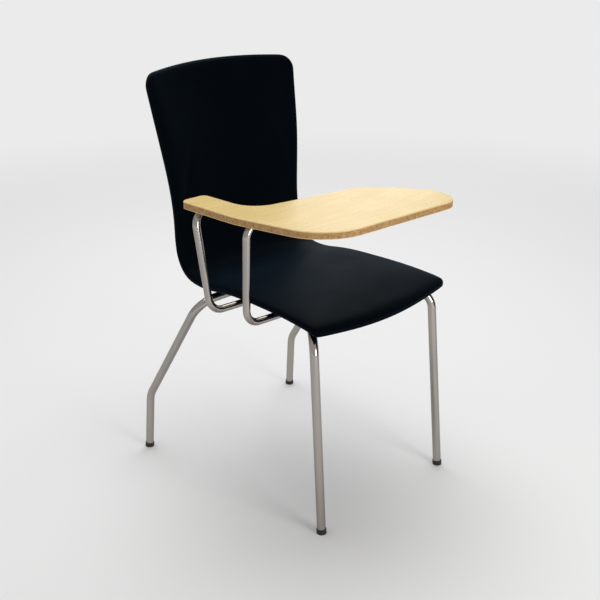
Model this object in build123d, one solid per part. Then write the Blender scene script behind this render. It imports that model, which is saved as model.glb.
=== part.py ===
"""Stacking side chair with a fixed writing tablet on the sitter's right.

An upholstered one-piece plywood shell sits on two welded frames of bent steel tube, joined by two
rails.  Two smaller bent tubes are screwed across the rails, rise beside the seat and carry a
laminated writing tablet on a steel plate.

Every function works in the chair's own frame, in millimetres: the sitter faces -Y, the sitter's
right is -X, the floor is z = 0 and x = 0 is the middle of the seat.  save() shifts each piece so
that the origin is the middle of the chair's footprint box.
"""
from build123d import *
from math import hypot
import os

os.makedirs("parts", exist_ok=True)

# ---------------------------------------------------------------- driving dimensions (mm)
# Leg frames: outside radius and wall of the tube, then the corners of its axis before bending.
LEG_R = 9.0
LEG_WALL = 1.5
FRAME_Z = 415.0                          # axis height of the tubes under the seat
FRONT_FOOT = (188.6, -225.3, 0.0)
FRONT_TOP = (179.0, -189.6, FRAME_Z)
FRONT_RUN = (104.0, -100.0, FRAME_Z)     # end of the front frame's cross run
REAR_FOOT = (228.5, 299.0, 0.0)
REAR_KINK = (225.0, 288.0, 137.0)
REAR_TOP = (217.5, 107.5, FRAME_Z)
FRONT_BEND_R = 40.0
RUN_BEND_R = 35.0
KINK_BEND_R = 60.0
REAR_BEND_R = 45.0

# Rails from the front run to the rear crossbar, and the lugs that hold the shell.
RAIL_R = 6.0
RAIL_WALL = 1.5
RAIL_X = 60.0
RAIL_Z = 416.3
LUG_T = 3.0
LUG_WIDTH = 24.0
LUG_TOP_Z = 422.0
LUG_X = 84.0
FRONT_LUG_Y = -121.0                     # screw line of the front lugs
REAR_LUG_Y = 84.0
LUG_REACH = 14.0                         # from the screw line to the lug's free edge

# Tablet supports: axis corners before bending, (x, y) under the seat and under the tablet.
SUPPORT_R = 7.5
SUPPORT_WALL = 1.5
SUPPORT_Z = RAIL_Z + RAIL_R + SUPPORT_R  # the arms lie across the rails
LOWER_BEND_R = 32.0
UPPER_BEND_R = 30.0
FRONT_SUPPORT_LOW = (-251.0, -80.0)
FRONT_SUPPORT_HIGH = (-251.0, -85.0)
REAR_SUPPORT_LOW = (-259.0, 17.0)
REAR_SUPPORT_HIGH = (-269.0, 45.0)
ARM_END_X = 78.0                         # inner end of both arms
ARM_RISE_X = -165.0                      # outboard of this the arms climb a little
ARM_RISE_R = 200.0
ARM_OUTER_Z = 433.5                      # axis height at the arms' outer corners
FRONT_RUN_END_X = -196.0                 # inner ends of the two runs under the tablet
REAR_RUN_END_X = -235.0

# Tablet: its outline's corners with the radius of each, clockwise from the elbow end.
TABLET_TOP_Z = 660.0
TABLET_T = 14.0
FACING_T = 2.0               # moulded facing on top, with its upper edge rounded
FACING_EDGE_R = 1.5
BACKING_T = 0.8
TABLET_CORNERS = [
    ((-290.0, 59.0), 14.0),
    ((-287.0, -92.0), 200.0),
    ((-246.0, -289.0), 105.0),
    ((98.0, -307.0), 44.0),
    ((117.0, -233.0), 50.0),
    ((34.0, -115.0), 90.0),
    ((-227.0, -73.0), 58.0),
    ((-231.0, 59.0), 12.0),
]
PLATE_T = 3.0
PLATE_WIDTH = 42.0
PLATE_ENDS = ((-258.0, 52.0), (-240.0, -112.0))
TABLET_RUN_Z = TABLET_TOP_Z - TABLET_T - PLATE_T - SUPPORT_R
TABLET_SCREW_SPOTS = (0.14, 0.40, 0.66, 0.94)      # along the plate, as parts of its length

# Side view of the shell: (bow, y, z).  y and z are the middle of the upholstered thickness at
# the side edge, and bow is how far the centre line of the seat or back lies behind that edge.
SHELL_PROFILE = [
    (4.0, -248.0, 413.5),
    (3.5, -222.0, 432.5),
    (3.0, -200.0, 440.0),
    (2.5, -170.0, 444.0),
    (2.0, -120.0, 447.5),
    (1.0, -24.0, 448.5),
    (1.0, 40.0, 446.6),
    (1.5, 82.0, 442.3),
    (2.5, 112.0, 438.0),
    (4.0, 150.0, 437.0),
    (7.0, 187.0, 447.0),
    (10.0, 210.0, 477.0),
    (14.0, 219.5, 530.0),
    (21.0, 223.0, 600.0),
    (26.0, 234.5, 690.0),
    (28.0, 251.5, 770.0),
    (29.0, 269.0, 850.0),
    (29.5, 276.0, 885.0),
]
BOW_HALF_WIDTH = 190.0
SHELL_REACH = 225.0          # half width of the untrimmed shell surface
SHELL_STATIONS = 60
SHELL_COLUMNS = 8

# Outline of the shell: seen from above up to JOIN_Z, and from ahead from there to the top.
SEAT_HALF = 186.5
SEAT_CORNER = (197.0, -212.0)
SEAT_CORNER_R = 13.0
SEAT_FRONT_Y = -227.0
SEAT_SIDE_TANGENTS = ((-0.05, 1.0), (0.0, 1.0))
BEND_Y = 165.0               # behind this line the seat's sides run straight back
OUTLINE_LOW = 355.0          # the outline's forms reach past the shell, from here to here
OUTLINE_REAR = 400.0
JOIN_Z = 470.0
JOIN_HALF = 183.0
WAIST_Z = 545.0
WAIST_HALF = 180.5
SHOULDER_Z = 700.0
SHOULDER_HALF = 193.0
BACK_SIDE_TANGENTS = ((0.0, 1.0), (0.1, 1.0))
TOP_CORNER_Z = 860.0
TOP_HALF = 208.0
TOP_Z = 870.0
TOP_CORNER_R = 28.0

# Layers of the shell, from the rear cover forward.
SKIN_T = 1.2
PLY_T = 9.0
FOAM_T = 5.0
GLUE = 0.1                   # glue line between two layers
PADDED_T = SKIN_T + GLUE + PLY_T + GLUE + FOAM_T + GLUE + SKIN_T
REAR_FACE = -PADDED_T / 2    # offsets are from the middle of the thickness, positive forward
PLY_REAR = REAR_FACE + SKIN_T + GLUE
PLY_FRONT = PLY_REAR + PLY_T
FRONT_FACE = PADDED_T / 2
EDGE_R = 7.0                 # rounding of the shell's front and rear edges
MARGIN = 9.0                 # how far the front cover turns in over the rear

# Fasteners, fittings and glides.
SHELL_SCREW_R = 3.0
SHELL_HEAD = (6.0, 3.6)      # head radius and height
TEE_BARREL_R = 4.0
TEE_FLANGE = (9.0, 1.2)
TEE_SINK = 1.9               # flange top below the plywood's face
SPACER_R = 9.0
ARM_SCREW_R = 2.5
ARM_HEAD = (4.5, 2.8)
INSERT_R = 3.5
INSERT_H = 9.0
WOOD_SCREW_R = 2.0
WOOD_SCREW_HEAD = (4.0, 2.2)
WOOD_SCREW_L = 13.0
CLEARANCE = 0.4              # between a screw and its plain hole
PLUG_T = 2.0
PLUG_DEPTH = 4.0
GLIDE_R = 10.2
GLIDE_H = 10.0
GLIDE_FLOOR = 3.0
GLIDE_STEM = 15.0
GLIDE_GAP = 0.15             # between a leg's tube and the glide around and inside it

BOTTOM = (Align.CENTER, Align.CENTER, Align.MIN)


# ---------------------------------------------------------------- shared forms
def rod(x, y, low, high, radius):
    """Upright cylinder between two heights."""
    return Pos(x, y, low) * Cylinder(radius, high - low, align=BOTTOM)


def bar(path, radius):
    """Solid round bar along a path."""
    return sweep(Plane(path @ 0, z_dir=path % 0) * Circle(radius), path=path)


def tube(path, radius, wall):
    """Hollow round tube along a path."""
    return bar(path, radius) - bar(path, radius - wall)


def mirrored(points):
    """The same points and then their mirror images, back to the other side."""
    return list(points) + [(-x, y, z) for x, y, z in reversed(points)]


def sides(shape):
    """A shape on the sitter's left (+X) and its mirror image on the right."""
    return {"left": shape, "right": mirror(shape, about=Plane.YZ)}


# ---------------------------------------------------------------- welded frames
def glide_seat(foot, above):
    """Plane across a leg's axis where its tube stands on the glide's floor."""
    axis = (Vector(*above) - Vector(*foot)).normalized()
    return Plane(Vector(*foot) + axis * GLIDE_FLOOR, z_dir=axis)


def front_leg_path():
    """Axis of the front tube: up one leg, inward and back to the cross run, and down the other."""
    start = glide_seat(FRONT_FOOT, FRONT_TOP).origin
    points = mirrored([tuple(start), FRONT_TOP, FRONT_RUN])
    return FilletPolyline(*points, radius=[FRONT_BEND_R, RUN_BEND_R, RUN_BEND_R, FRONT_BEND_R])


def rear_leg_path():
    """Axis of the rear tube: up one leg, forward from its kink, across and down the other."""
    start = glide_seat(REAR_FOOT, REAR_KINK).origin
    points = mirrored([tuple(start), REAR_KINK, REAR_TOP])
    return FilletPolyline(*points, radius=[KINK_BEND_R, REAR_BEND_R, REAR_BEND_R, KINK_BEND_R])


def leg_bars():
    """Solid bars in the place of the leg tubes, to cope the pieces welded to them."""
    return [bar(front_leg_path(), LEG_R), bar(rear_leg_path(), LEG_R)]


def seat_rail():
    """The rail on the +X side, with a hole through it at each arm screw."""
    length = REAR_TOP[1] - FRONT_RUN[1]
    middle = (REAR_TOP[1] + FRONT_RUN[1]) / 2
    ring = Cylinder(RAIL_R, length) - Cylinder(RAIL_R - RAIL_WALL, length)
    rail = Pos(RAIL_X, middle, RAIL_Z) * Rot(90, 0, 0) * ring
    for y in (FRONT_SUPPORT_LOW[1], REAR_SUPPORT_LOW[1]):
        rail -= rod(RAIL_X, y, RAIL_Z - 2 * RAIL_R, RAIL_Z + 2 * RAIL_R, ARM_SCREW_R + CLEARANCE)
    return rail - leg_bars()


def shell_lug(screw_y, tube_y):
    """Flat lug on the +X side, welded to the front of a cross run."""
    free_edge = screw_y - LUG_REACH
    plate = Pos(LUG_X, (free_edge + tube_y) / 2, LUG_TOP_Z - LUG_T) * Box(
        LUG_WIDTH, tube_y - free_edge, LUG_T, align=BOTTOM
    )
    plate = fillet(plate.edges().filter_by(Axis.Z).group_by(Axis.Y)[0], LUG_WIDTH / 4)
    hole = rod(LUG_X, screw_y, LUG_TOP_Z - 2 * LUG_T, LUG_TOP_Z + LUG_T, SHELL_SCREW_R + CLEARANCE)
    return plate - hole - leg_bars()


# ---------------------------------------------------------------- upholstered shell
def shell_face(distance):
    """Open surface of the whole shell, at a distance in front of its middle surface."""
    profile = Spline(*SHELL_PROFILE)
    rows = []
    for station in range(SHELL_STATIONS + 1):
        point = profile @ (station / SHELL_STATIONS)
        tangent = profile % (station / SHELL_STATIONS)
        length = hypot(tangent.Y, tangent.Z)
        front = Vector(0, -tangent.Z / length, tangent.Y / length)
        row = []
        for column in range(SHELL_COLUMNS + 1):
            x = SHELL_REACH * (2 * column / SHELL_COLUMNS - 1)
            behind = point.X * (1 - (x / BOW_HALF_WIDTH) ** 2)
            row.append(Vector(x, point.Y, point.Z) + front * (distance - behind))
        rows.append(row)
    return Face.make_surface_from_array_of_points(rows, tol=0.01, min_deg=3, max_deg=3)


def slab(low, high):
    """The untrimmed shell between two distances from its middle surface."""
    rear = shell_face(low)
    front = shell_face(high)
    walls = []
    for edge in rear.edges():
        partner = min(front.edges(), key=lambda other: (other @ 0.5 - edge @ 0.5).length)
        walls.append(Face.make_surface_from_curves(edge, partner))
    return Solid(Shell([rear, front] + walls))


def outline(inset):
    """Everything inside the shell's outline, drawn in by an inset."""
    corner = (SEAT_CORNER[0] - inset, SEAT_CORNER[1] + inset)
    seat_half = SEAT_HALF - inset
    join_half = JOIN_HALF - inset
    with BuildPart() as body:
        with BuildSketch(Plane.XY.offset(OUTLINE_LOW)) as seat:
            with BuildLine():
                side = Spline(corner, (seat_half, 0), (join_half, BEND_Y), tangents=SEAT_SIDE_TANGENTS)
                back = Line(side @ 1, (join_half, OUTLINE_REAR))
                far = Line(back @ 1, (-join_half, OUTLINE_REAR))
                Line(far @ 1, (-join_half, BEND_Y))
                mirror(side, about=Plane.YZ)
                ThreePointArc((-corner[0], corner[1]), (0, SEAT_FRONT_Y + inset), corner)
            make_face()
            fillet(seat.vertices().group_by(Axis.Y)[0], SEAT_CORNER_R - inset)
        extrude(amount=JOIN_Z - OUTLINE_LOW)
        with BuildSketch(Plane.XZ) as upper:
            with BuildLine():
                waist = (WAIST_HALF - inset, WAIST_Z)
                shoulder = (SHOULDER_HALF - inset, SHOULDER_Z)
                corner = (TOP_HALF - inset, TOP_CORNER_Z - inset)
                side_points = [(join_half, JOIN_Z), waist, shoulder, corner]
                side = Spline(*side_points, tangents=BACK_SIDE_TANGENTS)
                mirror(side, about=Plane.YZ)
                ThreePointArc(corner, (0, TOP_Z - inset), (-corner[0], corner[1]))
                Line((-join_half, JOIN_Z), (join_half, JOIN_Z))
            make_face()
            fillet(upper.vertices().group_by(Axis.Y)[-1], TOP_CORNER_R - inset)
        extrude(amount=-OUTLINE_REAR)
    return body.part


def shell_block(inset):
    """The whole upholstered shell, drawn in by an inset, with its edges rounded."""
    block = (slab(REAR_FACE + inset, FRONT_FACE - inset) & outline(inset)).solids()[0]
    faces = block.faces().sort_by(SortBy.AREA)[-2:]
    rims = [edge for face in faces for edge in face.edges()]
    return block.fillet(EDGE_R - inset, rims)


def height_at(x, y, distance):
    """Height above the floor of the seat's surface at a distance from its middle surface."""
    hits = shell_face(distance).find_intersection_points(Axis((x, y, 0), (0, 0, 1)))
    return min(point.Z for point, normal in hits)


def lug_spots():
    """(x, y) of the four screws that hold the shell."""
    return [(x, y) for x in (-LUG_X, LUG_X) for y in (FRONT_LUG_Y, REAR_LUG_Y)]


def plywood_shell():
    """Moulded plywood, bored for the tee nuts and recessed for their flanges."""
    shell = shell_block(SKIN_T + GLUE) & slab(REAR_FACE, PLY_FRONT)
    for x, y in lug_spots():
        face = height_at(x, y, PLY_FRONT)
        shell -= rod(x, y, face - 2 * PLY_T, face, TEE_BARREL_R)
        shell -= rod(x, y, face - TEE_SINK - TEE_FLANGE[1], face + PLY_T, TEE_FLANGE[0])
    return shell


def foam_pad():
    """Foam glued on the plywood's front."""
    return shell_block(SKIN_T + GLUE) & slab(PLY_FRONT + GLUE, FRONT_FACE)


def front_cover():
    """Front skin that turns over the shell's edge and in over the rear."""
    pocket = slab(REAR_FACE - PLY_T, PLY_REAR) & outline(MARGIN)
    return shell_block(0) - shell_block(SKIN_T) - pocket


def rear_cover():
    """Rear skin inside the turned margin, with a hole for each shell screw."""
    cover = slab(REAR_FACE, REAR_FACE + SKIN_T) & outline(MARGIN + GLUE)
    for x, y in lug_spots():
        face = height_at(x, y, REAR_FACE)
        cover -= rod(x, y, face - PLY_T, face + PLY_T, SHELL_SCREW_R + CLEARANCE)
    return cover


def shell_spacer(y):
    """Plastic collar on the +X side between a lug and the underside of the shell."""
    collar = rod(LUG_X, y, LUG_TOP_Z, LUG_TOP_Z + 4 * PLY_T, SPACER_R)
    bore = rod(LUG_X, y, LUG_TOP_Z - 1, LUG_TOP_Z + 4 * PLY_T, SHELL_SCREW_R + CLEARANCE)
    return (collar - bore - slab(REAR_FACE, REAR_FACE + 5 * PLY_T)).solids().sort_by(Axis.Z)[0]


def shell_screws():
    """Machine screws from below the lugs up into the tee nuts."""
    screws = []
    for x, y in lug_spots():
        under = LUG_TOP_Z - LUG_T
        tip = height_at(x, y, PLY_FRONT) - TEE_SINK - TEE_FLANGE[1]
        head = rod(x, y, under - SHELL_HEAD[1], under, SHELL_HEAD[0])
        head = fillet(head.edges().group_by(Axis.Z)[0], SHELL_HEAD[1] / 2)
        screws.append(head + rod(x, y, under, tip, SHELL_SCREW_R))
    return screws


def tee_nuts():
    nuts = []
    for x, y in lug_spots():
        top = height_at(x, y, PLY_FRONT) - TEE_SINK
        flange = rod(x, y, top - TEE_FLANGE[1], top, TEE_FLANGE[0])
        barrel = rod(x, y, top - PLY_T + 2 * TEE_SINK, top, TEE_BARREL_R)
        nuts.append(flange + barrel - rod(x, y, top - 2 * PLY_T, top + 1, SHELL_SCREW_R))
    return nuts


# ---------------------------------------------------------------- writing tablet
def tablet_layer(low, high):
    """Slice of the tablet between two heights."""
    corners = [corner for corner, radius in TABLET_CORNERS]
    radii = [radius for corner, radius in TABLET_CORNERS]
    edge = FilletPolyline(*corners, radius=radii, close=True)
    return Pos(0, 0, low) * extrude(make_face(edge), amount=high - low)


def plate_spot(part):
    """(x, y) on the plate's middle line, at a part of its length."""
    (x0, y0), (x1, y1) = PLATE_ENDS
    return x0 + part * (x1 - x0), y0 + part * (y1 - y0)


def tablet_screws():
    """Pan head wood screws from under the plate up into the board."""
    screws = []
    seat = TABLET_TOP_Z - TABLET_T - PLATE_T
    for part in TABLET_SCREW_SPOTS:
        x, y = plate_spot(part)
        head = rod(x, y, seat - WOOD_SCREW_HEAD[1], seat, WOOD_SCREW_HEAD[0])
        head = fillet(head.edges().group_by(Axis.Z)[0], WOOD_SCREW_HEAD[1] / 2)
        screws.append(head + rod(x, y, seat, seat + WOOD_SCREW_L, WOOD_SCREW_R))
    return screws


def tablet_plate():
    """Steel strip welded on both support runs, with a hole for each wood screw."""
    (x0, y0), (x1, y1) = PLATE_ENDS
    line = Line((x0, y0), (x1, y1))
    low = TABLET_TOP_Z - TABLET_T - PLATE_T
    turn = Rot(0, 0, Vector(x1 - x0, y1 - y0, 0).get_signed_angle(Vector(1, 0, 0), Vector(0, 0, -1)))
    middle = line @ 0.5
    strip = Box(line.length, PLATE_WIDTH, PLATE_T, align=BOTTOM)
    strip = fillet(strip.edges().filter_by(Axis.Z), PLATE_WIDTH / 4)
    plate = Pos(middle.X, middle.Y, low) * turn * strip
    for part in TABLET_SCREW_SPOTS:
        x, y = plate_spot(part)
        plate -= rod(x, y, low - 1, low + PLATE_T + 1, WOOD_SCREW_R + CLEARANCE / 2)
    return plate


def tablet_support(low, high, run_end_x):
    """Bent tube: arm across the rails, upright beside the seat and run under the tablet."""
    points = [
        (ARM_END_X, low[1], SUPPORT_Z),
        (ARM_RISE_X, low[1], SUPPORT_Z),
        (low[0], low[1], ARM_OUTER_Z),
        (high[0], high[1], TABLET_RUN_Z),
        (run_end_x, high[1], TABLET_RUN_Z),
    ]
    path = FilletPolyline(*points, radius=[ARM_RISE_R, LOWER_BEND_R, UPPER_BEND_R])
    bent = tube(path, SUPPORT_R, SUPPORT_WALL)
    for x in (-RAIL_X, RAIL_X):
        bent -= rod(x, low[1], SUPPORT_Z - 2 * SUPPORT_R, SUPPORT_Z, INSERT_R)
    return bent


def arm_spots():
    """(x, y) of the four screws where the arms cross the rails."""
    return [(x, low[1]) for x in (-RAIL_X, RAIL_X) for low in (FRONT_SUPPORT_LOW, REAR_SUPPORT_LOW)]


def arm_inserts():
    """Threaded bushes pressed into the lower wall of the arms."""
    low = SUPPORT_Z - SUPPORT_R
    return [
        rod(x, y, low, low + INSERT_H, INSERT_R) - rod(x, y, low - 1, low + 2 * INSERT_H, ARM_SCREW_R)
        for x, y in arm_spots()
    ]


def arm_screws():
    """Machine screws through the rails into the arms' threaded bushes."""
    screws = []
    under = RAIL_Z - RAIL_R
    for x, y in arm_spots():
        head = rod(x, y, under - ARM_HEAD[1], under, ARM_HEAD[0])
        head = fillet(head.edges().group_by(Axis.Z)[0], ARM_HEAD[1] / 2)
        screws.append(head + rod(x, y, under, SUPPORT_Z, ARM_SCREW_R))
    return screws


def tube_plugs():
    """Plastic plugs in the four open ends of the tablet supports."""
    ends = [
        (ARM_END_X, FRONT_SUPPORT_LOW[1], SUPPORT_Z),
        (ARM_END_X, REAR_SUPPORT_LOW[1], SUPPORT_Z),
        (FRONT_RUN_END_X, FRONT_SUPPORT_HIGH[1], TABLET_RUN_Z),
        (REAR_RUN_END_X, REAR_SUPPORT_HIGH[1], TABLET_RUN_Z),
    ]
    head = Cylinder(SUPPORT_R, PLUG_T, align=BOTTOM)
    head = fillet(head.edges().group_by(Axis.Z)[-1], PLUG_T / 2)
    stem = Pos(0, 0, -PLUG_DEPTH) * Cylinder(
        SUPPORT_R - SUPPORT_WALL - GLIDE_GAP, PLUG_DEPTH, align=BOTTOM
    )
    return [Pos(*end) * Rot(0, 90, 0) * (head + stem) for end in ends]


# ---------------------------------------------------------------- glides
def glide(foot, above):
    """Cup around the end of a leg with a stem inside its tube and a flat sole on the floor."""
    seat = glide_seat(foot, above)
    depth = 2 * GLIDE_FLOOR
    cup = Pos(0, 0, -depth) * Cylinder(GLIDE_R, depth + GLIDE_H - GLIDE_FLOOR, align=BOTTOM)
    cup = fillet(cup.edges().group_by(Axis.Z)[-1], GLIDE_GAP * 4)
    cup -= Cylinder(LEG_R + GLIDE_GAP, GLIDE_H, align=BOTTOM)
    stem = Cylinder(LEG_R - LEG_WALL - GLIDE_GAP, GLIDE_STEM, align=BOTTOM)
    stem = chamfer(stem.edges().group_by(Axis.Z)[-1], 1)
    ground = Pos(0, 0, -GLIDE_H) * Box(1000, 1000, GLIDE_H, align=BOTTOM)
    return seat * (cup + stem) - ground


# ---------------------------------------------------------------- assembly
def footprint_middle():
    """Middle of the box around the tablet's edges and the rear glides."""
    tablet = tablet_layer(0, TABLET_T).bounding_box()
    right = REAR_FOOT[0] + GLIDE_R
    rear = REAR_FOOT[1] + GLIDE_R
    return (tablet.min.X + right) / 2, (tablet.min.Y + rear) / 2


def save(name, shape):
    """Move one node's pieces into the part's frame and write them as one file."""
    x, y = footprint_middle()
    pieces = []
    for piece in shape if isinstance(shape, list) else [shape]:
        pieces.extend(Pos(-x, -y, 0) * solid for solid in piece.solids())
    node = pieces[0] if len(pieces) == 1 else Compound(children=pieces)
    node.label = name
    export_step(node, f"parts/{name}.step")


save("front_leg_frame", tube(front_leg_path(), LEG_R, LEG_WALL))
save("rear_leg_frame", tube(rear_leg_path(), LEG_R, LEG_WALL))
for side, shape in sides(seat_rail()).items():
    save(f"seat_rail_{side}", shape)
for place, screw_y, tube_y in (("front", FRONT_LUG_Y, FRONT_RUN[1]), ("rear", REAR_LUG_Y, REAR_TOP[1])):
    for side, shape in sides(shell_lug(screw_y, tube_y)).items():
        save(f"shell_lug_{place}_{side}", shape)
    for side, shape in sides(shell_spacer(screw_y)).items():
        save(f"shell_spacer_{place}_{side}", shape)
for place, foot, above in (("front", FRONT_FOOT, FRONT_TOP), ("rear", REAR_FOOT, REAR_KINK)):
    for side, shape in sides(glide(foot, above)).items():
        save(f"glide_{place}_{side}", shape)

save("plywood_shell", plywood_shell())
save("foam_pad", foam_pad())
save("front_cover", front_cover())
save("rear_cover", rear_cover())
save("shell_screws", shell_screws())
save("tee_nuts", tee_nuts())

board_low = TABLET_TOP_Z - TABLET_T + BACKING_T
board_high = TABLET_TOP_Z - FACING_T
facing = tablet_layer(board_high, TABLET_TOP_Z)
save("tablet_facing", fillet(facing.edges().group_by(Axis.Z)[-1], FACING_EDGE_R))
save("tablet_board", tablet_layer(board_low, board_high) - tablet_screws())
save("tablet_backing", tablet_layer(TABLET_TOP_Z - TABLET_T, board_low) - tablet_screws())
save("tablet_plate", tablet_plate())
save("tablet_screws", tablet_screws())
save("tablet_support_front", tablet_support(FRONT_SUPPORT_LOW, FRONT_SUPPORT_HIGH, FRONT_RUN_END_X))
save("tablet_support_rear", tablet_support(REAR_SUPPORT_LOW, REAR_SUPPORT_HIGH, REAR_RUN_END_X))
save("arm_inserts", arm_inserts())
save("arm_screws", arm_screws())
save("tube_plugs", tube_plugs())
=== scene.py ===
"""Tablet arm side chair: a black vinyl shell on satin chromed tube legs, with a beech faced tablet.

Lengths are in metres.  The sitter faces -Y, and the tablet is at the sitter's right, towards -X.
"""
import math

import bpy
import numpy as np
from mathutils import Matrix


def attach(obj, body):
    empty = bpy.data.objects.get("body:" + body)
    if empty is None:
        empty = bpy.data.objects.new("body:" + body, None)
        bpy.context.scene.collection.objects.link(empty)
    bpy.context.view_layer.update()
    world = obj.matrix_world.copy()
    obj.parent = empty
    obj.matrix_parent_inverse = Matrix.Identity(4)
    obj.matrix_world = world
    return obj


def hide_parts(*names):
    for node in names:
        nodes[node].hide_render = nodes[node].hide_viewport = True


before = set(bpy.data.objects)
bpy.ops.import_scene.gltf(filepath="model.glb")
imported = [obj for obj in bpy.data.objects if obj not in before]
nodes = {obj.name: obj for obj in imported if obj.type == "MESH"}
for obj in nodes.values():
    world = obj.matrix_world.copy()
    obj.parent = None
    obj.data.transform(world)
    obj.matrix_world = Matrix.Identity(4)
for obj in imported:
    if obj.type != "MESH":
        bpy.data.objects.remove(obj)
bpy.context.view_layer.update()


# ---------------------------------------------------------------- camera
# A still camera on a stand, off the sitter's right front corner.  It looks down on the chair from a
# little above the top of its back.
scene = bpy.context.scene
scene.view_settings.view_transform = "Standard"
CAMERA_SPOT = (-1.37375, -1.38826, 1.19478)
CAMERA_AZIMUTH, CAMERA_ELEVATION, CAMERA_ROLL = (math.radians(turn) for turn in (-44.72, 22.22, 0.08))
FOCAL_LENGTH = 59.224

camera_data = bpy.data.cameras.new("camera")
camera_data.sensor_width = 36.0
camera_data.lens = FOCAL_LENGTH
camera_data.shift_x = -0.5 / 600
camera = bpy.data.objects.new("camera", camera_data)
aim = Matrix.Rotation(CAMERA_AZIMUTH, 4, "Z") @ Matrix.Rotation(math.pi / 2 - CAMERA_ELEVATION, 4, "X")
camera.matrix_world = Matrix.Translation(CAMERA_SPOT) @ aim @ Matrix.Rotation(CAMERA_ROLL, 4, "Z")
scene.collection.objects.link(camera)
scene.camera = camera


# ---------------------------------------------------------------- studio
# A seamless pale floor that runs out into a backdrop of its own colour.  A broad soft lamp hangs
# overhead, a dimmer one stands ahead of the chair, and the tablet and the seat mirror a third, a
# faint one that stands behind the chair.
FLOOR_COLOUR = (0.80, 0.80, 0.80, 1.0)
BACKDROP_COLOUR = (0.83, 0.83, 0.83, 1.0)
FLOOR_RADIUS = 40.0
FADE_START, FADE_END = 1.3, 3.6


def soft_lamp(name, spot, aim, size, power):
    """Square area lamp at a spot, turned towards a point."""
    lamp_data = bpy.data.lights.new(name, "AREA")
    lamp_data.size = size
    lamp_data.energy = power
    lamp = bpy.data.objects.new(name, lamp_data)
    lamp.location = spot
    towards = np.array(aim, float) - np.array(spot, float)
    across = math.hypot(towards[0], towards[1])
    lamp.rotation_euler = (math.atan2(across, -towards[2]), 0, math.atan2(-towards[0], towards[1]))
    scene.collection.objects.link(lamp)
    return lamp


def floor_material():
    """Matt floor near the chair that fades into the even backdrop colour further out."""
    material = bpy.data.materials.new("pale_floor")
    material.use_nodes = True
    tree = material.node_tree
    tree.nodes.clear()
    output = tree.nodes.new("ShaderNodeOutputMaterial")
    blend = tree.nodes.new("ShaderNodeMixShader")
    matt = tree.nodes.new("ShaderNodeBsdfDiffuse")
    matt.inputs["Color"].default_value = FLOOR_COLOUR
    even = tree.nodes.new("ShaderNodeEmission")
    even.inputs["Color"].default_value = BACKDROP_COLOUR
    place = tree.nodes.new("ShaderNodeTexCoord")
    reach = tree.nodes.new("ShaderNodeVectorMath")
    reach.operation = "LENGTH"
    fade = tree.nodes.new("ShaderNodeMapRange")
    fade.interpolation_type = "SMOOTHSTEP"
    fade.inputs["From Min"].default_value = FADE_START
    fade.inputs["From Max"].default_value = FADE_END
    tree.links.new(place.outputs["Object"], reach.inputs[0])
    tree.links.new(reach.outputs["Value"], fade.inputs["Value"])
    tree.links.new(fade.outputs["Result"], blend.inputs[0])
    tree.links.new(matt.outputs[0], blend.inputs[1])
    tree.links.new(even.outputs[0], blend.inputs[2])
    tree.links.new(blend.outputs[0], output.inputs["Surface"])
    return material


turn = np.linspace(0, 2 * np.pi, 96, endpoint=False)
rim = np.c_[FLOOR_RADIUS * np.cos(turn), FLOOR_RADIUS * np.sin(turn), np.zeros(len(turn))]
floor_mesh = bpy.data.meshes.new("floor")
floor_mesh.from_pydata(rim.tolist(), [], [list(range(len(turn)))])
floor_mesh.materials.append(floor_material())
floor = bpy.data.objects.new("floor", floor_mesh)
scene.collection.objects.link(floor)

world = bpy.data.worlds.new("studio")
world.use_nodes = True
sky = world.node_tree.nodes["Background"]
sky.inputs["Color"].default_value = (1.0, 1.0, 1.0, 1.0)
sky.inputs["Strength"].default_value = 0.54
scene.world = world

soft_lamp("overhead", (0.6, 0.75, 2.8), (0.0, 0.0, 0.0), 2.6, 52.0)
soft_lamp("front_strip", (0.0, -2.8, 0.9), (0.0, 0.0, 0.5), 1.0, 30.0)
soft_lamp("rear_box", (2.3, 1.87, 1.6), (0.0, 0.0, 0.5), 0.8, 2.6)

# A black card off the chair's left front, which only reflections and light see, gives the chrome
# its dark side and keeps the back of the shell black.
CARD_LEFT, CARD_RIGHT, CARD_HEIGHT = (1.1, -2.7), (2.6, -1.2), 3.2
card_foot = [(*CARD_LEFT, 0.0), (*CARD_RIGHT, 0.0)]
card_head = [(*CARD_RIGHT, CARD_HEIGHT), (*CARD_LEFT, CARD_HEIGHT)]
card_mesh = bpy.data.meshes.new("black_card")
card_mesh.from_pydata(card_foot + card_head, [], [(0, 1, 2, 3)])
matt_black = bpy.data.materials.new("matt_black")
matt_black.use_nodes = True
matt_black.node_tree.nodes["Principled BSDF"].inputs["Base Color"].default_value = (0.01, 0.01, 0.01, 1.0)
matt_black.node_tree.nodes["Principled BSDF"].inputs["Roughness"].default_value = 1.0
card_mesh.materials.append(matt_black)
card = bpy.data.objects.new("black_card", card_mesh)
card.visible_camera = False
scene.collection.objects.link(card)


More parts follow.
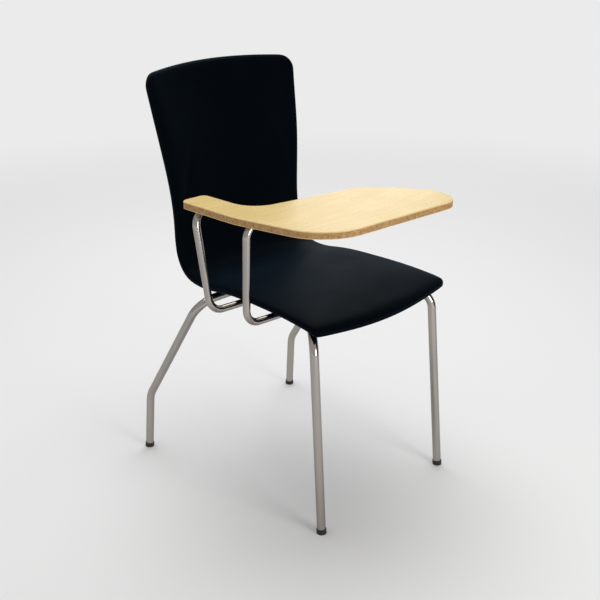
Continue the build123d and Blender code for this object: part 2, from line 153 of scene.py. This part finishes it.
# ---------------------------------------------------------------- what the materials share
# No surface keeps an even gloss.  One node group gives every material soft cloudy patches, as a
# pattern for its colour and as a roughness between two values.  All patterns lie in object space.
handling_marks = bpy.data.node_groups.new("handling_marks", "ShaderNodeTree")
handling_marks.interface.new_socket("Vector", in_out="INPUT", socket_type="NodeSocketVector")
for socket in ("Scale", "Low", "High"):
    handling_marks.interface.new_socket(socket, in_out="INPUT", socket_type="NodeSocketFloat")
for socket in ("Pattern", "Roughness"):
    handling_marks.interface.new_socket(socket, in_out="OUTPUT", socket_type="NodeSocketFloat")
inlet = handling_marks.nodes.new("NodeGroupInput")
outlet = handling_marks.nodes.new("NodeGroupOutput")
clouds = handling_marks.nodes.new("ShaderNodeTexNoise")
clouds.inputs["Detail"].default_value = 5.0
between = handling_marks.nodes.new("ShaderNodeMapRange")
between.inputs["From Min"].default_value = 0.25
between.inputs["From Max"].default_value = 0.75
handling_marks.links.new(inlet.outputs["Vector"], clouds.inputs["Vector"])
handling_marks.links.new(inlet.outputs["Scale"], clouds.inputs["Scale"])
handling_marks.links.new(clouds.outputs["Fac"], between.inputs["Value"])
handling_marks.links.new(inlet.outputs["Low"], between.inputs["To Min"])
handling_marks.links.new(inlet.outputs["High"], between.inputs["To Max"])
handling_marks.links.new(clouds.outputs["Fac"], outlet.inputs["Pattern"])
handling_marks.links.new(between.outputs["Result"], outlet.inputs["Roughness"])


def add_marks(tree, place, scale, low, high):
    """Handling marks of a scale in a material, with its roughness between low and high."""
    marks = tree.nodes.new("ShaderNodeGroup")
    marks.node_tree = handling_marks
    marks.inputs["Scale"].default_value = scale
    marks.inputs["Low"].default_value = low
    marks.inputs["High"].default_value = high
    tree.links.new(place, marks.inputs["Vector"])
    tree.links.new(marks.outputs["Roughness"], tree.nodes["Principled BSDF"].inputs["Roughness"])
    return marks


def new_material(name):
    """A material with its node tree, its main shader and the socket of its object coordinates."""
    material = bpy.data.materials.new(name)
    material.use_nodes = True
    tree = material.node_tree
    place = tree.nodes.new("ShaderNodeTexCoord").outputs["Object"]
    return material, tree, tree.nodes["Principled BSDF"], place


def add_pattern(tree, kind, place, **values):
    """A noise or cell texture node at a place, with its inputs set by their names."""
    pattern = tree.nodes.new("ShaderNodeTex" + kind)
    for name, value in values.items():
        pattern.inputs[name].default_value = value
    tree.links.new(place, pattern.inputs["Vector"])
    return pattern


def add_stretch(tree, place, scale):
    """Coordinates scaled by axis."""
    stretch = tree.nodes.new("ShaderNodeMapping")
    stretch.inputs["Scale"].default_value = scale
    tree.links.new(place, stretch.inputs["Vector"])
    return stretch.outputs["Vector"]


def add_tones(tree, pattern, dark, light, start=0.0, end=1.0):
    """Colour that goes from dark to light as the pattern goes from start to end."""
    tones = tree.nodes.new("ShaderNodeValToRGB")
    tones.color_ramp.elements[0].position = start
    tones.color_ramp.elements[0].color = (*dark, 1.0)
    tones.color_ramp.elements[1].position = end
    tones.color_ramp.elements[1].color = (*light, 1.0)
    tree.links.new(pattern, tones.inputs["Fac"])
    return tones.outputs["Color"]


def add_bump(tree, height, strength, distance):
    """Bump on the main shader from a height of 0 to 1, which stands for a distance in metres."""
    bump = tree.nodes.new("ShaderNodeBump")
    bump.inputs["Strength"].default_value = strength
    bump.inputs["Distance"].default_value = distance
    tree.links.new(height, bump.inputs["Height"])
    tree.links.new(bump.outputs["Normal"], tree.nodes["Principled BSDF"].inputs["Normal"])


# ---------------------------------------------------------------- upholstered shell
# Moulded plywood under thin foam and black grained vinyl.  The front cover runs over the edge, has
# a sewn line just in front of the edge, and turns in over the rear, where a second panel covers it.
# All lengths of the shell are in mm, in the chair's own frame.  SHELL_LINE is (bow, y, z) along the
# side edge, in the middle of the thickness, from the front lip to the top.
SHELL_LINE = [
    (4.0, -248.0, 413.5), (3.5, -222.0, 432.5), (3.0, -200.0, 440.0), (2.5, -170.0, 444.0),
    (2.0, -120.0, 447.5), (1.0, -24.0, 448.5), (1.0, 40.0, 446.6), (1.5, 82.0, 442.3),
    (2.5, 112.0, 438.0), (4.0, 150.0, 437.0), (7.0, 187.0, 447.0), (10.0, 210.0, 477.0),
    (14.0, 219.5, 530.0), (21.0, 223.0, 600.0), (26.0, 234.5, 690.0), (28.0, 251.5, 770.0),
    (29.0, 269.0, 850.0), (29.5, 276.0, 885.0),
]
SEAT_HALVES = [(-212, 197.0), (-105, 191.4), (0, 186.5), (82, 183.9), (165, 183.0)]
BACK_HALVES = [
    (470, 183.0), (507, 181.9), (545, 180.5), (620, 184.2), (702, 193.2), (780, 200.6), (860, 208.0)
]
FRONT_EDGE_Y, FRONT_EDGE_DROP, SEAT_CORNER_R = -227.0, 15.0, 13.0
TOP_EDGE_Z, TOP_EDGE_DROP, TOP_CORNER_R = 870.0, 10.0, 30.5
BOW_HALF = 190.0
HALF_THICK = 8.35
LINE_STEPS, SEAT_END, BACK_START, WIDTH_STEPS = 3000, 1400, 1600, 900
CHAIR_TO_FRAME = (25.5095, -2.0108, 0.0)


def curve_through(points, count):
    """Even steps along a natural cubic curve through the points, paced by their chord lengths."""
    knots = np.array(points, float)
    pace = np.r_[0, np.cumsum(np.linalg.norm(np.diff(knots, axis=0), axis=1))]
    gap = np.diff(pace)
    inner = np.arange(1, len(pace) - 1)
    system = np.eye(len(pace))
    system[inner, inner - 1] = gap[:-1]
    system[inner, inner] = 2 * (gap[:-1] + gap[1:])
    system[inner, inner + 1] = gap[1:]
    right = np.zeros_like(knots)
    right[1:-1] = 6 * np.diff(np.diff(knots, axis=0) / gap[:, None], axis=0)
    curl = np.linalg.solve(system, right)
    along = np.linspace(0, pace[-1], count)
    k = np.clip(np.searchsorted(pace, along, side="right") - 1, 0, len(gap) - 1)
    before, after, width = (pace[k + 1] - along)[:, None], (along - pace[k])[:, None], gap[k][:, None]
    cubic = (curl[k] * before**3 + curl[k + 1] * after**3) / (6 * width)
    line = (knots[k] / width - curl[k] * width / 6) * before
    return cubic + line + (knots[k + 1] / width - curl[k + 1] * width / 6) * after


shell_line = curve_through(SHELL_LINE, LINE_STEPS)
line_step = np.linalg.norm(np.diff(shell_line[:, 1:], axis=0), axis=1)
line_s = np.r_[0, np.cumsum(line_step)]
line_slope = np.gradient(shell_line[:, 1:], line_s, axis=0)
line_slope /= np.linalg.norm(line_slope, axis=1)[:, None]


def s_of_y(y):
    """Distance along the shell's side line at a place on the seat, found by its y."""
    return np.interp(y, shell_line[:SEAT_END, 1], line_s[:SEAT_END])


def s_of_z(z):
    """Distance along the shell's side line at a place on the back, found by its z."""
    return np.interp(z, shell_line[BACK_START:, 2], line_s[BACK_START:])


seat_widths = [(s_of_y(y), half) for y, half in SEAT_HALVES]
back_widths = [(s_of_z(z), half) for z, half in BACK_HALVES]
widths = curve_through(seat_widths + back_widths, WIDTH_STEPS)


def on_shell(x, s, lift):
    """The point in mm at (x, s), lifted in front of the shell's middle surface.

    The middle surface is the side line moved back by bow * (1 - (x / 190)^2) along its normal.
    """
    bow = np.interp(s, line_s, shell_line[:, 0])
    y, z = (np.interp(s, line_s, shell_line[:, axis]) for axis in (1, 2))
    y_slope, z_slope = (np.interp(s, line_s, line_slope[:, axis]) for axis in (0, 1))
    out = lift - bow * (1 - (x / BOW_HALF) ** 2)
    return np.stack([x, y - z_slope * out, z + y_slope * out], axis=-1)


def edge_distance(x, s, lift):
    """How far the point at (x, s, lift) lies inside the outline, with the corners rounded.

    The front edge is seen from above and the top edge from ahead.  With q the shortfalls of the
    side and end distances from the corner's radius R, the result is R - |positive part of q|
    - min(largest q, 0).
    """
    point = on_shell(x, s, lift)
    side = np.interp(s, widths[:, 0], widths[:, 1]) - np.abs(x)
    front = point[..., 1] - FRONT_EDGE_Y - FRONT_EDGE_DROP * (x / SEAT_HALVES[0][1]) ** 2
    top = TOP_EDGE_Z - TOP_EDGE_DROP * (x / BACK_HALVES[-1][1]) ** 2 - point[..., 2]
    radius = np.where(front < top, SEAT_CORNER_R, TOP_CORNER_R)
    q_side, q_end = radius - side, radius - np.minimum(front, top)
    corner = np.hypot(np.maximum(q_side, 0), np.maximum(q_end, 0))
    return radius - corner - np.minimum(np.maximum(q_side, q_end), 0)


def crowded(count):
    """Steps from 0 to 1 that draw together towards both ends: even ones with a half cosine wave."""
    even = np.linspace(0, 1, count + 1)
    return 0.55 * even + 0.45 * (0.5 - 0.5 * np.cos(np.pi * even))


# The covers' rings lie on spokes, which start on a spine down the middle of the shell and end on a
# box of (x, s) round its outline.
END_STEPS, SIDE_STEPS = 56, 132
SPINE_INSET, BOX_HALF, BOX_BEFORE, BOX_PAST = 190.0, 240.0, 22.0, 20.0
s_low, s_high = s_of_y(FRONT_EDGE_Y), s_of_z(TOP_EDGE_Z)
spine = s_low + (s_high - s_low) * crowded(SIDE_STEPS)
spine = np.clip(spine, s_low + SPINE_INSET, s_high - SPINE_INSET)
end_x = BOX_HALF * (2 * crowded(END_STEPS) - 1)
side_s = s_low - BOX_BEFORE + (s_high - s_low + BOX_BEFORE + BOX_PAST) * crowded(SIDE_STEPS)
spoke_end = np.concatenate([
    np.stack([end_x, np.full(END_STEPS + 1, s_low - BOX_BEFORE)], -1)[:-1],
    np.stack([np.full(SIDE_STEPS + 1, BOX_HALF), side_s], -1)[:-1],
    np.stack([end_x[::-1], np.full(END_STEPS + 1, s_high + BOX_PAST)], -1)[:-1],
    np.stack([np.full(SIDE_STEPS + 1, -BOX_HALF), side_s[::-1]], -1)[:-1],
])
spoke_start = np.concatenate([
    np.full(END_STEPS, spine[0]), spine[:-1], np.full(END_STEPS, spine[-1]), spine[::-1][:-1]
])
spoke_start = np.stack([np.zeros(len(spoke_start)), spoke_start], -1)
SPOKES = len(spoke_start)


def rings_at(depths, lifts):
    """(x, s) where each spoke from the spine lies at each depth inside the outline, by halving."""
    low = np.zeros((len(depths), SPOKES))
    high = np.ones((len(depths), SPOKES))
    for _ in range(40):
        middle = (low + high) / 2
        place = spoke_start + middle[..., None] * (spoke_end - spoke_start)
        inside = edge_distance(place[..., 0], place[..., 1], lifts[:, None]) > depths[:, None]
        low, high = np.where(inside, middle, low), np.where(inside, high, middle)
    return spoke_start + low[..., None] * (spoke_end - spoke_start)


def closed_pad(name, section):
    """Closed mesh of rings round the shell, from one spine line over the edge to the other.

    section is a list of (depth inside the outline, lift off the middle surface), all in mm.
    """
    depths, lifts = np.array(section).T
    rings = rings_at(depths, lifts)
    ring_points = on_shell(rings[..., 0], rings[..., 1], lifts[:, None])
    count = len(section)
    spine_points = [on_shell(0 * spine, spine, np.full(len(spine), lifts[end])) for end in (0, -1)]
    points = np.concatenate([ring_points.reshape(-1, 3)] + spine_points)
    points = (points + np.array(CHAIR_TO_FRAME)) / 1000
    j = np.arange(SPOKES)
    after = (j + 1) % SPOKES
    faces = []
    for ring in range(count - 1):
        here, there = ring * SPOKES, (ring + 1) * SPOKES
        faces += np.stack([here + j, there + j, there + after, here + after], -1).tolist()
    right = END_STEPS + np.arange(SIDE_STEPS)
    left = 2 * END_STEPS + SIDE_STEPS + np.arange(SIDE_STEPS)
    climb = np.arange(SIDE_STEPS)
    for cap, ring in enumerate((0, count - 1)):
        base, core = ring * SPOKES, count * SPOKES + cap * len(spine)
        sides = [
            np.stack([base + after[right], base + right, core + climb, core + climb + 1], -1),
            np.stack([base + after[left], base + left, core + SIDE_STEPS - climb,
                      core + SIDE_STEPS - climb - 1], -1),
        ]
        bottom, top = np.arange(END_STEPS), END_STEPS + SIDE_STEPS + np.arange(END_STEPS)
        ends = [
            np.stack([base + after[bottom], base + bottom, np.full(END_STEPS, core)], -1),
            np.stack([base + after[top], base + top, np.full(END_STEPS, core + SIDE_STEPS)], -1),
        ]
        for group in sides + ends:
            faces += (group[:, ::-1] if cap == 0 else group).tolist()
    mesh = bpy.data.meshes.new(name)
    mesh.from_pydata(points.tolist(), [], faces)
    mesh.validate()
    mesh.polygons.foreach_set("use_smooth", np.ones(len(mesh.polygons), bool))
    pad = bpy.data.objects.new(name, mesh)
    scene.collection.objects.link(pad)
    return pad


# From the edge the front rises by CROWN_LIFT over CROWN_REACH.  The sewn line is a groove in the
# crown, and below it the vinyl turns round the rear edge.
CROWN_REACH, CROWN_POWER, CROWN_LIFT = 34.0, 2.6, 8.5
SEAM_LIFT, SEAM_DEEP, SEAM_WIDE = 3.7, 0.9, 0.5
REAR_EDGE_R = 5.5


def crown_depth(lift):
    """Depth inside the outline at which the crowned front reaches a lift: a superellipse's inverse."""
    share = np.array(lift, float) / CROWN_LIFT
    return CROWN_REACH * (1 - (1 - share**CROWN_POWER) ** (1 / CROWN_POWER))


def crown_lift(depth):
    """Lift of the crowned front at a depth: lift^p + (reach - depth)^p = 1, each over its size."""
    left = 1 - np.clip(np.array(depth, float), 0, CROWN_REACH) / CROWN_REACH
    return CROWN_LIFT * (1 - left**CROWN_POWER) ** (1 / CROWN_POWER)


front_depths = np.r_[np.linspace(172, 40, 20), 34, 29, 25, 21, 17.5, 14.5, 12, 9.8, 8.2, 6.9, 5.9]
nose_lifts = np.array([5.6, 5.1, 4.7, 4.35, 4.05, 3.7, 3.35, 3.05, 2.7, 2.2, 1.4, 0.6])
seam = SEAM_DEEP * np.exp(-(((nose_lifts - SEAM_LIFT) / SEAM_WIDE) ** 2))
nose_depths = crown_depth(nose_lifts) + seam
under = np.radians(np.linspace(0, 90, 8))
inner_depths = [16, 30, 45, 60, 80, 100, 120, 145, 172]
turn_depths, turn_lifts = REAR_EDGE_R * (1 - np.cos(under)), REAR_EDGE_R * (1 - np.sin(under))
front_section = list(zip(front_depths, crown_lift(front_depths)))
front_section += list(zip(nose_depths, nose_lifts))
front_section += list(zip(turn_depths, turn_lifts - HALF_THICK))
front_section += [(8.8, -8.35), (9.1, -8.15), (9.3, -7.6), (9.5, -7.15)]
front_section += [(depth, -7.15) for depth in inner_depths]
front_cover = closed_pad("front_cover_vinyl", front_section)

rear_section = [(depth, -7.3) for depth in inner_depths[::-1]]
rear_section += [(12, -7.3), (10.2, -7.4), (9.7, -7.6), (9.6, -8.0)]
rear_section += [(9.9, -8.35), (10.8, -8.5), (14, -8.5)]
rear_section += [(depth, -8.5) for depth in np.linspace(24, 172, 14)]
rear_cover = closed_pad("rear_cover_vinyl", rear_section)


# The vinyl is drawn tight over the foam, so its front swells a little between the edges that hold
# it.  A coarse copy of the cover is blown up as cloth, with its rear held up to the sewn line, and
# the rise that this gives is carried over to the cover, eased off at SWELL_CAP.
SWELL_CAP = 0.0022
CLOTH_VOXEL, CLOTH_FRAMES = 0.007, 20
CLOTH_STIFFNESS, CLOTH_PRESSURE = 60.0, 4.0
FREE_SHARE = 0.75
BATCH = 2000


def carry(values, spots, places):
    """Values at the spots, carried to the places with weights exp(-(distance / voxel)^2 / 2)."""
    carried = np.zeros((len(places), values.shape[1]))
    for first in range(0, len(places), BATCH):
        part = places[first:first + BATCH]
        square = (part**2).sum(1)[:, None] + (spots**2).sum(1) - 2 * part @ spots.T
        weight = np.exp(-square / (2 * CLOTH_VOXEL**2))
        carried[first:first + BATCH] = weight @ values / weight.sum(1)[:, None]
    return carried


def vertex_places(mesh):
    """All vertex places of a mesh as rows."""
    places = np.empty(3 * len(mesh.vertices), np.float32)
    mesh.vertices.foreach_get("co", places)
    return places.reshape(-1, 3).astype(float)


def swell(pad, free_rings):
    """Blow up the pad's first rings, and the spine line inside them, as cloth.

    A rise of r becomes one of cap * tanh(r / cap).
    """
    fine = vertex_places(pad.data)
    front_spine = len(fine) - 2 * len(spine)
    free = np.zeros((len(fine), 1))
    free[:free_rings * SPOKES] = 1.0
    free[front_spine:front_spine + len(spine)] = 1.0
    remesh = pad.modifiers.new("remesh", "REMESH")
    remesh.mode, remesh.voxel_size = "VOXEL", CLOTH_VOXEL
    remeshed = pad.evaluated_get(bpy.context.evaluated_depsgraph_get())
    coarse_mesh = bpy.data.meshes.new_from_object(remeshed)
    pad.modifiers.remove(remesh)
    coarse = bpy.data.objects.new("cloth_trial", coarse_mesh)
    scene.collection.objects.link(coarse)
    start = vertex_places(coarse_mesh)
    held = coarse.vertex_groups.new(name="held")
    held_points = np.flatnonzero(carry(free, fine, start)[:, 0] < FREE_SHARE)
    held.add(held_points.tolist(), 1.0, "REPLACE")
    cloth = coarse.modifiers.new("cloth", "CLOTH")
    cloth.settings.tension_stiffness = CLOTH_STIFFNESS
    cloth.settings.compression_stiffness = CLOTH_STIFFNESS
    cloth.settings.vertex_group_mass = "held"
    cloth.settings.use_pressure = True
    cloth.settings.uniform_pressure_force = CLOTH_PRESSURE
    cloth.settings.effector_weights.gravity = 0.0
    cloth.collision_settings.use_collision = False
    cloth.point_cache.frame_end = CLOTH_FRAMES
    for moment in range(1, CLOTH_FRAMES + 1):
        scene.frame_set(moment)
    blown = coarse.evaluated_get(bpy.context.evaluated_depsgraph_get())
    rise = carry(vertex_places(blown.to_mesh()) - start, start, fine) * free
    blown.to_mesh_clear()
    bpy.data.objects.remove(coarse)
    scene.frame_set(1)
    length = np.maximum(np.linalg.norm(rise, axis=1), 1e-9)[:, None]
    raised = fine + rise * SWELL_CAP * np.tanh(length / SWELL_CAP) / length
    pad.data.vertices.foreach_set("co", raised.ravel())
    pad.data.update()


swell(front_cover, len(front_depths))


def vinyl_material():
    """Black embossed vinyl: fine pebble grain, faint scuffs in its sheen, soft blue-grey gloss."""
    material, tree, skin, place = new_material("black_vinyl")
    skin.inputs["Specular IOR Level"].default_value = 0.02
    skin.inputs["Sheen Weight"].default_value = 0.065
    skin.inputs["Sheen Roughness"].default_value = 0.4
    skin.inputs["Sheen Tint"].default_value = (0.30, 0.66, 1.0, 1.0)
    skin.inputs["Specular Tint"].default_value = (0.62, 0.86, 1.0, 1.0)
    marks = add_marks(tree, place, 9.0, 0.42, 0.56)
    tint = add_tones(tree, marks.outputs["Pattern"], (0.0003, 0.0009, 0.0018), (0.0009, 0.0019, 0.0034))
    tree.links.new(tint, skin.inputs["Base Color"])
    pebble = add_pattern(tree, "Voronoi", place, Scale=820.0, Randomness=0.9)
    crease = add_pattern(tree, "Noise", place, Scale=240.0, Detail=3.0)
    height = tree.nodes.new("ShaderNodeMix")
    height.inputs["Factor"].default_value = 0.35
    tree.links.new(pebble.outputs["Distance"], height.inputs["A"])
    tree.links.new(crease.outputs["Fac"], height.inputs["B"])
    add_bump(tree, height.outputs["Result"], 0.22, 0.0004)
    return material


black_vinyl = vinyl_material()
for cover in (front_cover, rear_cover):
    cover.data.materials.append(black_vinyl)
    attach(cover, "root")
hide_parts("front_cover", "foam_pad")
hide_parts("rear_cover")


# ---------------------------------------------------------------- chromed tubes and brackets
# Steel tube, bent cold, welded and plated in satin chrome.  Rails, lugs and the tablet's plate are
# plated with it.  The plating's colour and sheen are a little uneven.


def chrome_material():
    """Satin chrome with painted shade towards its edges, standing in for dark reflections there, with
    cloudy patches and small pits in its sheen.
    """
    material, tree, metal, place = new_material("satin_chrome")
    metal.inputs["Metallic"].default_value = 1.0
    marks = add_marks(tree, place, 14.0, 0.10, 0.20)
    tone = add_tones(tree, marks.outputs["Pattern"], (0.40, 0.395, 0.39), (0.50, 0.44, 0.39))
    # Painted shade: the colour goes to dark grey where the tube turns away from the view, in place of
    # dark reflections at its sides.
    edge = tree.nodes.new("ShaderNodeLayerWeight")
    edge.inputs["Blend"].default_value = 0.35
    darker = tree.nodes.new("ShaderNodeMix")
    darker.data_type = "RGBA"
    darker.inputs["B"].default_value = (0.10, 0.095, 0.09, 1.0)
    tree.links.new(tone, darker.inputs["A"])
    tree.links.new(edge.outputs["Facing"], darker.inputs["Factor"])
    tree.links.new(darker.outputs["Result"], metal.inputs["Base Color"])
    pits = add_pattern(tree, "Noise", place, Scale=900.0, Detail=2.0)
    add_bump(tree, pits.outputs["Fac"], 0.08, 0.0002)
    return material


def give(material, *names):
    """Put a material on nodes of the frame, in place of what they have."""
    for name in names:
        mesh = nodes[name].data
        mesh.materials.clear()
        mesh.materials.append(material)


satin_chrome = chrome_material()
give(satin_chrome, "front_leg_frame", "rear_leg_frame", "tablet_support_front", "tablet_support_rear")
give(satin_chrome, "seat_rail_left", "seat_rail_right", "tablet_plate")
give(satin_chrome, *[name for name in nodes if name.startswith("shell_lug")])


# ---------------------------------------------------------------- screws and bushes
# Machine screws hold the shell and the tablet's arms, and wood screws hold the tablet.  They, the tee
# nuts in the plywood and the threaded bushes in the rails are zinc plated.


def zinc_material():
    """Zinc plate: grey with a faint crystal pattern in its colour and uneven sheen."""
    material, tree, metal, place = new_material("zinc_plate")
    metal.inputs["Metallic"].default_value = 1.0
    add_marks(tree, place, 300.0, 0.32, 0.50)
    crystals = add_pattern(tree, "Voronoi", place, Scale=600.0)
    tone = add_tones(tree, crystals.outputs["Distance"], (0.38, 0.39, 0.40), (0.58, 0.59, 0.60))
    tree.links.new(tone, metal.inputs["Base Color"])
    return material


give(zinc_material(), "shell_screws", "arm_screws", "tablet_screws", "tee_nuts", "arm_inserts")


# ---------------------------------------------------------------- glides, plugs and spacers
# Moulded black polyethylene: cups on the feet, plugs in the tube ends, and collars between the lugs
# and the shell.


def plastic_material():
    """Black moulded plastic with the fine spark texture of its mould and dull rubbed patches."""
    material, tree, plastic, place = new_material("black_plastic")
    plastic.inputs["Specular IOR Level"].default_value = 0.4
    marks = add_marks(tree, place, 120.0, 0.40, 0.62)
    tone = add_tones(tree, marks.outputs["Pattern"], (0.006, 0.006, 0.007), (0.022, 0.022, 0.022))
    tree.links.new(tone, plastic.inputs["Base Color"])
    spark = add_pattern(tree, "Noise", place, Scale=1300.0)
    add_bump(tree, spark.outputs["Fac"], 0.15, 0.0002)
    return material


black_plastic = plastic_material()
give(black_plastic, "tube_plugs")
give(black_plastic, *[name for name in nodes if name.startswith(("glide", "shell_spacer"))])


# ---------------------------------------------------------------- plywood under the covers
# Beech plywood pressed to the shell's shape.  The closed covers hide it, so a plain veneer grain is
# all it needs.


def plywood_material():
    """Beech veneer: pale brown with long soft grain along the shell."""
    material, tree, wood, place = new_material("beech_plywood")
    add_marks(tree, place, 20.0, 0.52, 0.68)
    along = add_stretch(tree, place, (60.0, 4.0, 4.0))
    grain = add_pattern(tree, "Noise", along, Scale=2.0, Detail=6.0)
    tone = add_tones(tree, grain.outputs["Fac"], (0.36, 0.22, 0.11), (0.56, 0.38, 0.21))
    tree.links.new(tone, wood.inputs["Base Color"])
    return material


give(plywood_material(), "plywood_shell")


# ---------------------------------------------------------------- writing tablet
# Pressed fibre board, bare at its edge, between two sheets with a pale beech pattern.  The upper
# sheet's edge is rounded over.


def facing_material():
    """Satin beech pattern: long fine fibres along X with short darker flecks between them."""
    material, tree, sheet, place = new_material("beech_facing")
    sheet.inputs["Specular IOR Level"].default_value = 0.45
    add_marks(tree, place, 11.0, 0.21, 0.33)
    long_way = add_stretch(tree, place, (3.0, 34.0, 34.0))
    fibres = add_pattern(tree, "Noise", long_way, Scale=4.0, Detail=8.0, Roughness=0.62)
    tone = add_tones(tree, fibres.outputs["Fac"], (0.71, 0.515, 0.205), (0.81, 0.62, 0.27), 0.25, 0.75)
    fleck_way = add_stretch(tree, place, (160.0, 900.0, 900.0))
    flecks = add_pattern(tree, "Voronoi", fleck_way, Scale=1.0)
    fleck_mask = tree.nodes.new("ShaderNodeMapRange")
    fleck_mask.inputs["From Min"].default_value = 0.10
    fleck_mask.inputs["From Max"].default_value = 0.30
    fleck_mask.inputs["To Min"].default_value = 0.16
    fleck_mask.inputs["To Max"].default_value = 0.0
    fleck_mix = tree.nodes.new("ShaderNodeMix")
    fleck_mix.data_type = "RGBA"
    fleck_mix.inputs["B"].default_value = (0.50, 0.33, 0.13, 1.0)
    tree.links.new(flecks.outputs["Distance"], fleck_mask.inputs["Value"])
    tree.links.new(fleck_mask.outputs["Result"], fleck_mix.inputs["Factor"])
    tree.links.new(tone, fleck_mix.inputs["A"])
    tree.links.new(fleck_mix.outputs["Result"], sheet.inputs["Base Color"])
    return material


def board_material():
    """Raw fibre board edge: tan with small brown and pale chips and a rough matt surface."""
    material, tree, board, place = new_material("board_edge")
    board.inputs["Specular IOR Level"].default_value = 0.2
    add_marks(tree, place, 60.0, 0.68, 0.82)
    chips = add_pattern(tree, "Noise", place, Scale=260.0, Detail=5.0, Roughness=0.7)
    tone = add_tones(tree, chips.outputs["Fac"], (0.20, 0.10, 0.035), (0.60, 0.375, 0.165), 0.30, 0.70)
    tree.links.new(tone, board.inputs["Base Color"])
    add_bump(tree, chips.outputs["Fac"], 0.35, 0.0006)
    return material


give(facing_material(), "tablet_facing", "tablet_backing")
give(board_material(), "tablet_board")
